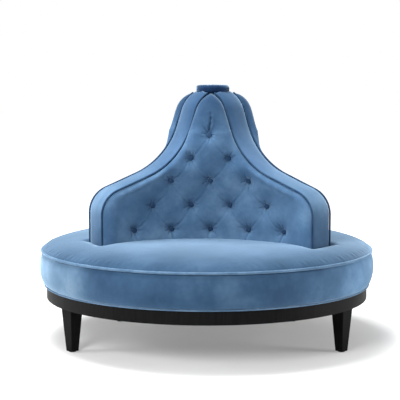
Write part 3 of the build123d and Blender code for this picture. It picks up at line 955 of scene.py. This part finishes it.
def bare_wood(name, colours, scale):
    """Unfinished timber with grain along its height and length."""
    material, tree, shader = fresh(name)
    lines = grain(tree, (scale, scale, scale / 9), scale=1.0, detail=7.0, roughness=0.6)
    colour = ramp(tree, lines, [(0.3, colours[0]), (0.7, colours[1])])
    tree.links.new(colour, shader.inputs["Base Color"])
    shader.inputs["Roughness"].default_value = 0.7
    return material


def plain_finish(name, colours, scale, roughness, metallic=0.0):
    """An inner piece's finish, mottled a little, such as plated steel or cloth."""
    material, tree, shader = fresh(name)
    colour = ramp(tree, noise(tree, scale), [(0.3, colours[0]), (0.7, colours[1])])
    tree.links.new(colour, shader.inputs["Base Color"])
    shader.inputs["Roughness"].default_value = roughness
    shader.inputs["Metallic"].default_value = metallic
    return material


# Copies of one blue velvet, each set lighter or darker and toned along an axis as painted light and shade
velvet_panel = velvet("blue_velvet_panel", panel_nap, 7.5, "Z", panel_painted_shade, 0.5)
velvet_ridge = velvet("blue_velvet_ridge", ridge_nap, 6.0, "Z", ridge_painted_light_and_shade, 0.6)
velvet_seat = velvet("blue_velvet_seat", seat_nap, 4.5, "X", seat_painted_shade)
velvet_band = velvet("blue_velvet_band", band_nap, 4.5, "X", band_painted_sheen)
# The buttons' velvet is darker, partly from its own darker nap and partly as painted shade of the pits the
# buttons sit in
velvet_button = velvet("blue_velvet_button", button_nap, 30.0)
velvet_cord = velvet("blue_velvet_piping", cord_nap, 14.0)
# A darker, low-sheen copy of the piping velvet, as painted shade of the grooves beside the panels
velvet_shaded_cord = velvet("blue_velvet_shaded_piping", shaded_cord_nap, 14.0, sheen=0.15)
velvet_navy = velvet("navy_velvet", navy_nap, 16.0)
finishes = {
    "black_wood": black_wood(),
    "frame_wood": bare_wood("sawn_softwood", softwood, 70.0),
    "ply": bare_wood("bare_plywood", plywood, 45.0),
    "steel": plain_finish("plated_steel", steel, 260.0, 0.35, 1.0),
    "glide": plain_finish("foot_glide", black_plastic, 300.0, 0.6),
    "under_cloth": plain_finish("under_cloth", black_cloth, 900.0, 0.9),
}


def finish_packed_pieces():
    """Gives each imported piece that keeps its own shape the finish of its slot."""
    slots = {part["node"]: part["material_slot"] for part in frame["record"]["subparts"]}
    for node, part in frame["nodes"].items():
        finish = finishes.get(slots.get(node))
        if finish and not part.data.materials:
            part.data.materials.append(finish)
        elif finish:
            for holder in part.material_slots:
                holder.material = finish


# Floor, lights and camera


def make_floor():
    """A wide pale floor that stays white far from the settee and keeps its soft shadow."""
    mesh = bpy.data.meshes.new("floor")
    corners = [(-floor_half, -floor_half, 0), (floor_half, -floor_half, 0)]
    corners += [(floor_half, floor_half, 0), (-floor_half, floor_half, 0)]
    mesh.from_pydata(corners, [], [(0, 1, 2, 3)])
    floor = bpy.data.objects.new("floor", mesh)
    bpy.context.scene.collection.objects.link(floor)
    material, tree, shader = fresh("pale_floor")
    colour = ramp(tree, noise(tree, floor_mottle_scale), [(0.3, floor_grey[0]), (0.7, floor_grey[1])])
    tree.links.new(colour, shader.inputs["Base Color"])
    shader.inputs["Roughness"].default_value = 0.9
    shader.inputs["Specular IOR Level"].default_value = 0.05
    coordinates = add(tree, "ShaderNodeTexCoord")
    distance = add(tree, "ShaderNodeVectorMath", operation="LENGTH")
    tree.links.new(coordinates.outputs["Object"], distance.inputs[0])
    spans = ((glow_start, glow_end), (near_glow, far_glow))
    far = mapped(tree, distance.outputs["Value"], *spans, interpolation_type="SMOOTHSTEP")
    path = add(tree, "ShaderNodeLightPath")
    glow = joined(tree, "ShaderNodeMath", "MULTIPLY", path.outputs["Is Camera Ray"], far)
    shader.inputs["Emission Color"].default_value = (1, 1, 1, 1)
    tree.links.new(glow, shader.inputs["Emission Strength"])
    mesh.materials.append(material)


def make_world():
    """Even studio light all round, seen as plain white."""
    world = bpy.data.worlds.new("studio")
    bpy.context.scene.world = world
    world.use_nodes = True
    tree = world.node_tree
    background = tree.nodes["Background"]
    background.inputs["Color"].default_value = (1, 1, 1, 1)
    rays = add(tree, "ShaderNodeLightPath").outputs
    seen = joined(tree, "ShaderNodeMath", "MAXIMUM", rays["Is Camera Ray"], rays["Is Glossy Ray"])
    seen = joined(tree, "ShaderNodeMath", "MAXIMUM", seen, rays["Is Transmission Ray"])
    level = mapped(tree, seen, (0.0, 1.0), (world_light, 1.0))
    tree.links.new(level, background.inputs["Strength"])


def make_light(name, place, aim, size, power):
    """A square soft light at a place, facing a point."""
    lamp = bpy.data.lights.new(name, "AREA")
    lamp.size = size
    lamp.energy = power
    light = bpy.data.objects.new(name, lamp)
    bpy.context.scene.collection.objects.link(light)
    light.location = place
    way = np.array(aim) - np.array(place)
    flat = math.hypot(way[0], way[1])
    light.rotation_euler = (math.atan2(flat, -way[2]), 0, math.atan2(-way[0], way[1]))


def make_camera():
    """The camera of the photograph, a long lens that looks slightly down along +Y."""
    lens = bpy.data.cameras.new("photo_camera")
    lens.sensor_width = sensor_width
    lens.lens = camera_lens
    camera = bpy.data.objects.new("photo_camera", lens)
    bpy.context.scene.collection.objects.link(camera)
    camera.location = camera_place
    camera.rotation_euler = (math.radians(90 - camera_dip), 0, 0)
    bpy.context.scene.camera = camera


# The settee and its room

finish_packed_pieces()
tufted_sheet = panel_sheet()
for panel_side, panel_turn in {"front": 0.0, "right": sector, "left": -sector}.items():
    make_panel(panel_side, panel_turn, tufted_sheet)
    make_buttons(panel_side, panel_turn)
ridges = {
    "left": (-sector / 2, ("left", "front")),
    "right": (sector / 2, ("front", "right")),
    "rear": (1.5 * sector, ("right", "left")),
}
for fin_side, (fin_turn, neighbours) in ridges.items():
    make_ridge(fin_side, fin_turn)
    for hand, neighbour in zip((-1, 1), neighbours):
        make_ridge_cord(fin_side, neighbour, hand, fin_turn)
make_seat_top()
make_seat_band()
make_seat_cords()
make_cap()
make_floor()
make_world()
for lamp_name, (lamp_place, lamp_aim, lamp_size, lamp_power) in softboxes.items():
    make_light(lamp_name, lamp_place, lamp_aim, lamp_size, lamp_power)
make_camera()
bpy.context.scene.view_settings.view_transform = "Standard"
